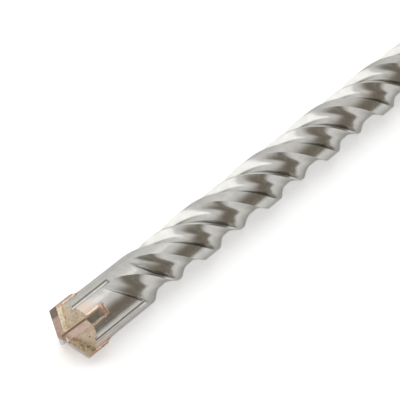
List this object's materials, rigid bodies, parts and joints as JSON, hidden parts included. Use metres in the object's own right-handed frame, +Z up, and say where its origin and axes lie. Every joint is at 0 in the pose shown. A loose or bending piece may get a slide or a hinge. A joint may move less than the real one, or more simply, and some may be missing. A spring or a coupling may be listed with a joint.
{
  "type": "sds plus drill bit",
  "caption": "Masonry hammer drill bit with a brazed cross-shaped carbide head, helical flutes and a grooved quick-lock shank.",
  "frame": {"origin": "centre of the flat striking face at the end of the shank", "axes": "+X along the axis from the cutting tip to the striking face, +Z up as the bit lies on its wide lands, +Y to the left when looking along +X"},
  "size_m": [0.26, 0.0148, 0.0148],
  "materials": {
    "steel": "satin, blasted and bright",
    "carbide": "ground, dark grey-brown",
    "braze": "satin copper braze"
  },
  "bodies": {
    "root": {"drill_body": "steel", "carbide_tip": "carbide", "braze": "braze"}
  },
  "joints": []
}
